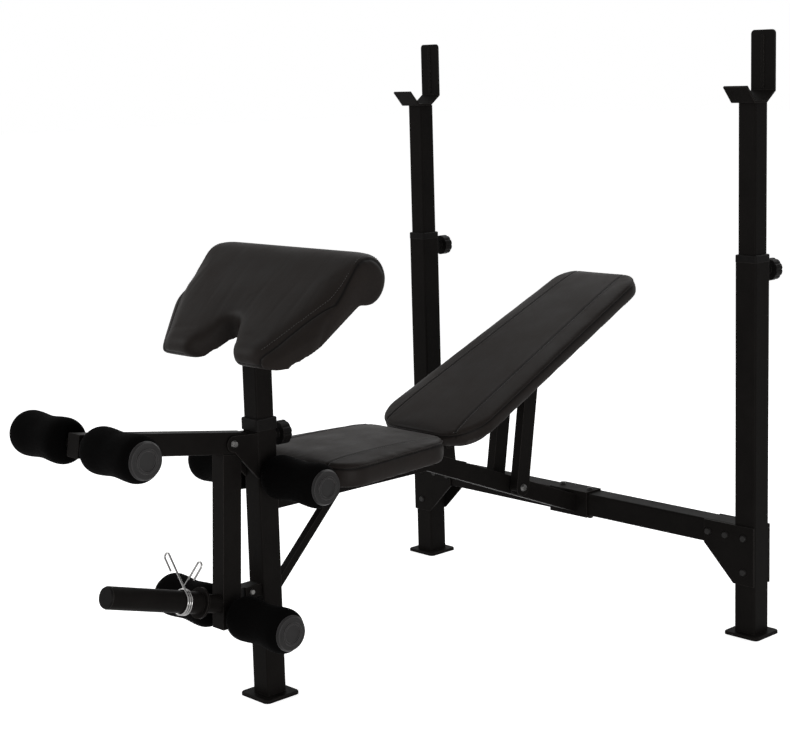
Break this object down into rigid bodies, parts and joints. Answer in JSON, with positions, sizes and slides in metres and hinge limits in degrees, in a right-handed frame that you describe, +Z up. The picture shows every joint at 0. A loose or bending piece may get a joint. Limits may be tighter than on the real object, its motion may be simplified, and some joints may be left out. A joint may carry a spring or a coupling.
{
  "type": "weight bench",
  "caption": "Adjustable weight bench with bar uprights, tilting backrest, preacher pad and a leg developer with foam rollers and a weight sleeve.",
  "frame": {"origin": "middle of the bounding box's footprint, on the floor", "axes": "+X to the bench's right, +Y from the leg developer to the bar uprights, +Z up"},
  "size_m": [1.24, 1.7372, 1.492],
  "materials": {
    "powder_coat": "satin black powder coat with a fine texture",
    "vinyl": "black upholstery vinyl with a fine grain and a soft sheen",
    "foam": "matte black closed-cell foam",
    "board": "plywood with a black backing",
    "black_plastic": "matte black moulded plastic",
    "bumper": "black rubber",
    "chrome_wire": "bright plated spring wire",
    "zinc": "zinc plated steel",
    "black_bolts": "black oxide steel"
  },
  "bodies": {
    "frame": {"front_post": "powder_coat", "foot_plates": "powder_coat", "post_collar": "black_plastic", "developer_clevis": "powder_coat", "stop_bracket": "powder_coat", "stop_bumper": "bumper", "stop_bolt": "zinc", "fixed_roller_tube": "powder_coat", "fixed_roller_caps": "black_plastic", "main_beam": "powder_coat", "rear_saddle": "powder_coat", "diagonal_brace": "powder_coat", "hinge_bracket": "powder_coat", "seat_brackets": "powder_coat", "seat_board": "board", "seat_pad": "vinyl", "seat_screws": "zinc", "crossbar": "powder_coat", "left_upright": "powder_coat", "right_upright": "powder_coat", "gusset_plates": "powder_coat", "gusset_bolts": "black_bolts", "saddle_bolts": "black_bolts", "upright_collars": "black_plastic", "hinge_bolt": "zinc", "strut_bolt": "zinc", "developer_bolt": "zinc"},
    "left_post": {"left_inner_upright": "powder_coat", "left_catch": "powder_coat"},
    "right_post": {"right_inner_upright": "powder_coat", "right_catch": "powder_coat"},
    "left_knob": {"left_knob": "black_plastic"},
    "right_knob": {"right_knob": "black_plastic"},
    "post_knob": {"post_knob": "black_plastic"},
    "struts": {"struts": "powder_coat", "strut_pin": "zinc"},
    "backrest": {"backrest_rails": "powder_coat", "backrest_board": "board", "backrest_pad": "vinyl", "backrest_screws": "zinc"},
    "preacher": {"preacher_post": "powder_coat", "preacher_bracket": "powder_coat", "preacher_board": "board", "preacher_pad": "vinyl", "preacher_screws": "zinc"},
    "developer": {"developer_arm": "powder_coat", "developer_leg": "powder_coat", "developer_roller_tubes": "powder_coat", "developer_roller_caps": "black_plastic", "weight_horn": "powder_coat", "weight_sleeve": "powder_coat", "sleeve_cap": "black_plastic"},
    "clip": {"spring_clip": "chrome_wire"},
    "front_left_roller": {"front_left_roller": "foam"},
    "front_right_roller": {"front_right_roller": "foam"},
    "low_left_roller": {"low_left_roller": "foam"},
    "low_right_roller": {"low_right_roller": "foam"},
    "fixed_left_roller": {"fixed_left_roller": "foam"},
    "fixed_right_roller": {"fixed_right_roller": "foam"}
  },
  "joints": [
    {"name": "left_upright_slide", "type": "slide", "parent": "frame", "child": "left_post", "axis": [0, 0, 1], "range_m": [-0.25, 0.12]},
    {"name": "right_upright_slide", "type": "slide", "parent": "frame", "child": "right_post", "axis": [0, 0, 1], "range_m": [-0.25, 0.12]},
    {"name": "left_knob_turn", "type": "hinge", "parent": "frame", "child": "left_knob", "pos_m": [-0.57, 0.79792, 0.911], "axis": [0, 1, 0], "continuous": true},
    {"name": "right_knob_turn", "type": "hinge", "parent": "frame", "child": "right_knob", "pos_m": [0.57, 0.79792, 0.911], "axis": [0, 1, 0], "continuous": true},
    {"name": "post_knob_turn", "type": "hinge", "parent": "frame", "child": "post_knob", "pos_m": [0, -0.30208, 0.609], "axis": [0, 1, 0], "continuous": true},
    {"name": "backrest_tilt", "type": "hinge", "parent": "frame", "child": "backrest", "pos_m": [0, 0.22792, 0.502], "axis": [1, 0, 0], "range_deg": [-24, 0]},
    {"name": "strut_swing", "type": "hinge", "parent": "frame", "child": "struts", "pos_m": [0, 0.46292, 0.34424], "axis": [1, 0, 0], "range_deg": [-49, 0]},
    {"name": "preacher_slide", "type": "slide", "parent": "frame", "child": "preacher", "axis": [0, 0, 1], "range_m": [0, 0.05]},
    {"name": "developer_swing", "type": "hinge", "parent": "frame", "child": "developer", "pos_m": [0, -0.44608, 0.611], "axis": [-1, 0, 0], "range_deg": [0, 65]},
    {"name": "clip_slide", "type": "slide", "parent": "developer", "child": "clip", "axis": [0, -0.9613, 0.2756], "range_m": [0, 0.16]},
    {"name": "front_left_spin", "type": "hinge", "parent": "developer", "child": "front_left_roller", "pos_m": [-0.135, -0.81864, 0.66868], "axis": [1, 0, 0], "continuous": true},
    {"name": "front_right_spin", "type": "hinge", "parent": "developer", "child": "front_right_roller", "pos_m": [0.135, -0.81864, 0.66868], "axis": [1, 0, 0], "continuous": true},
    {"name": "low_left_spin", "type": "hinge", "parent": "developer", "child": "low_left_roller", "pos_m": [-0.135, -0.46631, 0.225], "axis": [1, 0, 0], "continuous": true},
    {"name": "low_right_spin", "type": "hinge", "parent": "developer", "child": "low_right_roller", "pos_m": [0.135, -0.46631, 0.225], "axis": [1, 0, 0], "continuous": true},
    {"name": "fixed_left_spin", "type": "hinge", "parent": "frame", "child": "fixed_left_roller", "pos_m": [-0.135, -0.35208, 0.526], "axis": [1, 0, 0], "continuous": true},
    {"name": "fixed_right_spin", "type": "hinge", "parent": "frame", "child": "fixed_right_roller", "pos_m": [0.135, -0.35208, 0.526], "axis": [1, 0, 0], "continuous": true}
  ],
  "couplings": [
    {"joint": "strut_swing", "follows": "backrest_tilt", "ratio": 2.0225}
  ]
}
